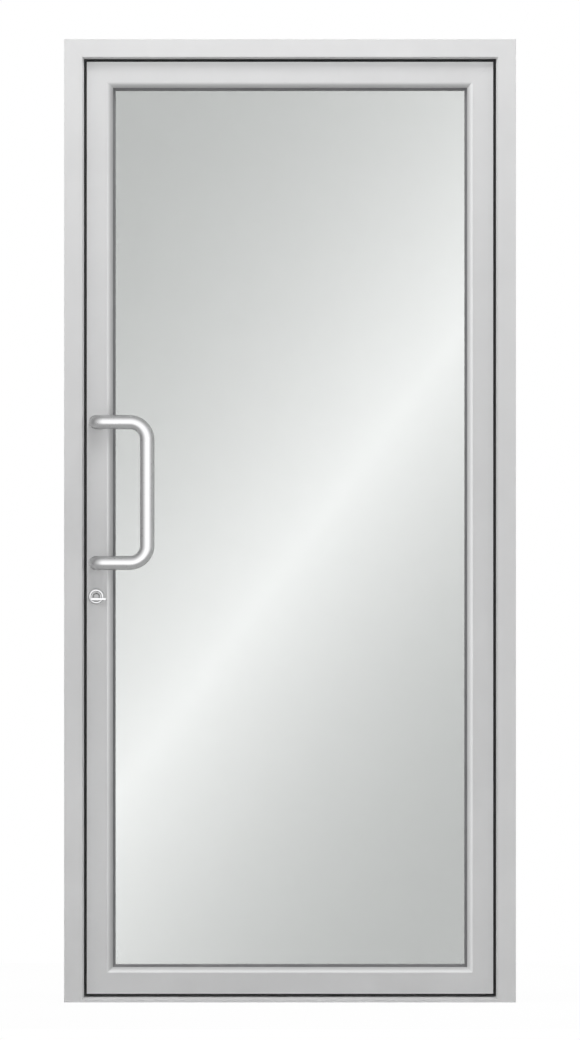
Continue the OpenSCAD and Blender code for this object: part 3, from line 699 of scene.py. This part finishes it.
def emptyMaterial(name):
    made = bpy.data.materials.new(name)
    made.use_nodes = True
    made.node_tree.nodes.clear()
    return made, made.node_tree, made.node_tree.nodes.new("ShaderNodeOutputMaterial")


# white to the camera, to gloss and through glass, with a share of the real shading for the shadow
def floorMaterial():
    made, tree, out = emptyMaterial("paleFloor")
    matte = addNode(tree, "ShaderNodeBsdfDiffuse")
    matte.inputs["Color"].default_value = shaded(stage["floorColour"])
    glow = addNode(tree, "ShaderNodeEmission")
    path = addNode(tree, "ShaderNodeLightPath").outputs
    mirrored = mathNode(tree, "SUBTRACT", path["Is Glossy Ray"], path["Is Transmission Ray"], clamp=True)
    lost = mathNode(tree, "MULTIPLY", mirrored, stage["cameraWhite"] - stage["glossFloor"])
    tree.links.new(mathNode(tree, "SUBTRACT", stage["cameraWhite"], lost), glow.inputs["Strength"])
    seen = mathNode(tree, "ADD", path["Is Camera Ray"], path["Is Glossy Ray"], clamp=True)
    seen = mathNode(tree, "ADD", seen, path["Is Transmission Ray"], clamp=True)
    mixed = mixShaders(tree, mathNode(tree, "MULTIPLY", seen, 1.0 - stage["floorShade"]),
                       matte.outputs[0], glow.outputs[0])
    # the glass mirrors the even studio below the horizon too, not the floor's edge
    through = addNode(tree, "ShaderNodeBsdfTransparent")
    sharply = mathNode(tree, "MULTIPLY", mirrored, path["Is Singular Ray"])
    tree.links.new(mixShaders(tree, sharply, mixed, through.outputs[0]), out.inputs["Surface"])
    return made


def flatPiece(name, corners, material):
    mesh = bpy.data.meshes.new(name)
    mesh.from_pydata(corners, [], [(0, 1, 2, 3)])
    mesh.materials.append(material)
    made = bpy.data.objects.new(name, mesh)
    bpy.context.scene.collection.objects.link(made)
    return made


floorZ = cadLow.z - stage["floorDrop"]
aside, nearY, farY = stage["floorHalfWide"], stage["floorFront"], stage["floorBack"]
flatPiece("floor", [(-aside, nearY, floorZ), (aside, nearY, floorZ), (aside, farY, floorZ), (-aside, farY, floorZ)],
          floorMaterial())

world = bpy.data.worlds.new("studio")
bpy.context.scene.world = world
world.use_nodes = True
tree = world.node_tree
tree.nodes.clear()
worldOut = tree.nodes.new("ShaderNodeOutputWorld")
seenSky, fillSky, glossSky = [addNode(tree, "ShaderNodeBackground") for _ in range(3)]
for sky in (seenSky, fillSky, glossSky):
    sky.inputs["Color"].default_value = (1, 1, 1, 1)
fillSky.inputs["Strength"].default_value = stage["worldFill"]
# gloss sees a studio that is bright in front of the door, dimmer behind it and dark at its sides
towards = addNode(tree, "ShaderNodeTexCoord").outputs["Generated"]
strength = stage["glossBase"]
for way, start, end, added in stage["glossParts"]:
    part = smoothStep(tree, alongWay(tree, towards, way), start, end, 0.0, added)
    strength = mathNode(tree, "ADD", part, strength)
# satin metal sees those parts; the glass, which mirrors sharply, sees one even level
path = addNode(tree, "ShaderNodeLightPath").outputs
sharply = path["Is Singular Ray"]
strength = mathNode(tree, "MULTIPLY", strength, mathNode(tree, "SUBTRACT", 1.0, sharply))
strength = mathNode(tree, "ADD", strength, mathNode(tree, "MULTIPLY", sharply, stage["glassSky"]))
tree.links.new(strength, glossSky.inputs["Strength"])
straight = mathNode(tree, "ADD", path["Is Camera Ray"], path["Is Transmission Ray"], clamp=True)
unseen = mixShaders(tree, path["Is Glossy Ray"], fillSky.outputs[0], glossSky.outputs[0])
tree.links.new(mixShaders(tree, straight, unseen, seenSky.outputs[0]), worldOut.inputs["Surface"])

# a soft card in front of the door, seen only by the glass, bright along a slanting line
sheenCard = {
    "forward": 2.2,                # metres in front of the frame
    "halfWide": 1.0,
    "low": -0.5,
    "high": 2.6,
    "fadeWide": (0.5, 1.0),        # where it fades out, from the middle sideways
    "fadeTall": (1.15, 1.55),      # and up and down
    "linePoint": (-0.3815, 0.0, 0.440),   # a point of the bright line
    "lineNormal": (0.802, 0.0, -0.597),
    "least": 0.47,
    "added": 1.55,                 # on the line, on top of the least
    "reachLeft": 1.08,             # metres from the line to where the sheen has faded
    "reachRight": 0.86,
}


# brightness: the least plus the added times the square of one minus the distance over the reach
def cardMaterial():
    made, tree, out = emptyMaterial("sheenCard")
    glow = addNode(tree, "ShaderNodeEmission")
    place = addNode(tree, "ShaderNodeTexCoord").outputs["Object"]
    shifted = addNode(tree, "ShaderNodeVectorMath", operation="SUBTRACT")
    shifted.inputs[1].default_value = sheenCard["linePoint"]
    tree.links.new(place, shifted.inputs[0])
    across = alongWay(tree, shifted.outputs[0], sheenCard["lineNormal"])
    right = mathNode(tree, "DIVIDE", across, sheenCard["reachRight"])
    left = mathNode(tree, "DIVIDE", across, -sheenCard["reachLeft"])
    away = mathNode(tree, "SUBTRACT", 1.0, mathNode(tree, "MAXIMUM", left, right), clamp=True)
    sheen = mathNode(tree, "MULTIPLY", mathNode(tree, "MULTIPLY", away, away), sheenCard["added"])
    tree.links.new(mathNode(tree, "ADD", sheen, sheenCard["least"]), glow.inputs["Strength"])
    # only the glass mirrors sharply, so only the glass sees the card; the satin metal sees past it
    through = addNode(tree, "ShaderNodeBsdfTransparent")
    shown = addNode(tree, "ShaderNodeLightPath").outputs["Is Singular Ray"]
    apart = addNode(tree, "ShaderNodeSeparateXYZ")
    tree.links.new(place, apart.inputs[0])
    tall = mathNode(tree, "SUBTRACT", apart.outputs["Z"], (sheenCard["low"] + sheenCard["high"]) / 2)
    for far, (start, end) in ((apart.outputs["X"], sheenCard["fadeWide"]), (tall, sheenCard["fadeTall"])):
        fade = smoothStep(tree, mathNode(tree, "ABSOLUTE", far), start, end, 1.0, 0.0)
        shown = mathNode(tree, "MULTIPLY", shown, fade)
    tree.links.new(mixShaders(tree, shown, through.outputs[0], glow.outputs[0]), out.inputs["Surface"])
    return made


cardY = frontFace - sheenCard["forward"]
aside, low, high = sheenCard["halfWide"], sheenCard["low"], sheenCard["high"]
card = flatPiece("sheenCard", [(-aside, cardY, low), (aside, cardY, low),
                               (aside, cardY, high), (-aside, cardY, high)], cardMaterial())
card.visible_camera = False
card.visible_diffuse = False
card.visible_transmission = False
card.visible_shadow = False

lamps = {
    # name: place, aimed at, width, height, watts
    "keyLamp": ((-0.3, -2.9, 3.3), (0.0, 0.0, 1.5), 1.2, 1.2, 23.0),
    "topLamp": ((0.0, -0.7, 4.2), (0.0, 0.0, 1.6), 2.0, 0.5, 77.0),
    "leftLamp": ((-3.2, -1.0, 2.2), (-0.4, 0.0, 1.5), 0.6, 1.8, 37.0),
    "rightLamp": ((3.2, -1.0, 2.2), (0.4, 0.0, 1.5), 0.6, 1.8, 22.0),
    "backLamp": ((1.6, 3.6, 3.2), (0.0, 0.0, 1.1), 2.2, 1.8, 110.0),
}
for name, (place, aim, wide, high, watts) in lamps.items():
    data = bpy.data.lights.new(name, "AREA")
    data.shape = "RECTANGLE"
    data.size, data.size_y, data.energy = wide, high, watts
    lamp = bpy.data.objects.new(name, data)
    lamp.location = place
    pointing = Vector(aim) - Vector(place)
    lamp.rotation_euler = pointing.to_track_quat("-Z", "Y").to_euler()
    lamp.visible_glossy = False     # metal sees the studio and glass the card instead
    lamp.visible_transmission = False
    bpy.context.scene.collection.objects.link(lamp)

# a broad light from the upper left that only the leaf's bevel catches
slantSun = {"towards": (0.6, 0.55, -0.54), "spread": 25.0, "strength": 1.3}
data = bpy.data.lights.new("slantSun", "SUN")
data.energy, data.angle = slantSun["strength"], math.radians(slantSun["spread"])
sun = bpy.data.objects.new("slantSun", data)
sun.rotation_euler = Vector(slantSun["towards"]).to_track_quat("-Z", "Y").to_euler()
bpy.context.scene.collection.objects.link(sun)
slopes = bpy.data.collections.new("slopes")
slopes.objects.link(bpy.data.objects["leafBevel"])
sun.light_linking.receiver_collection = slopes
bpy.context.scene.view_settings.view_transform = "Standard"
print("stage and lights done")
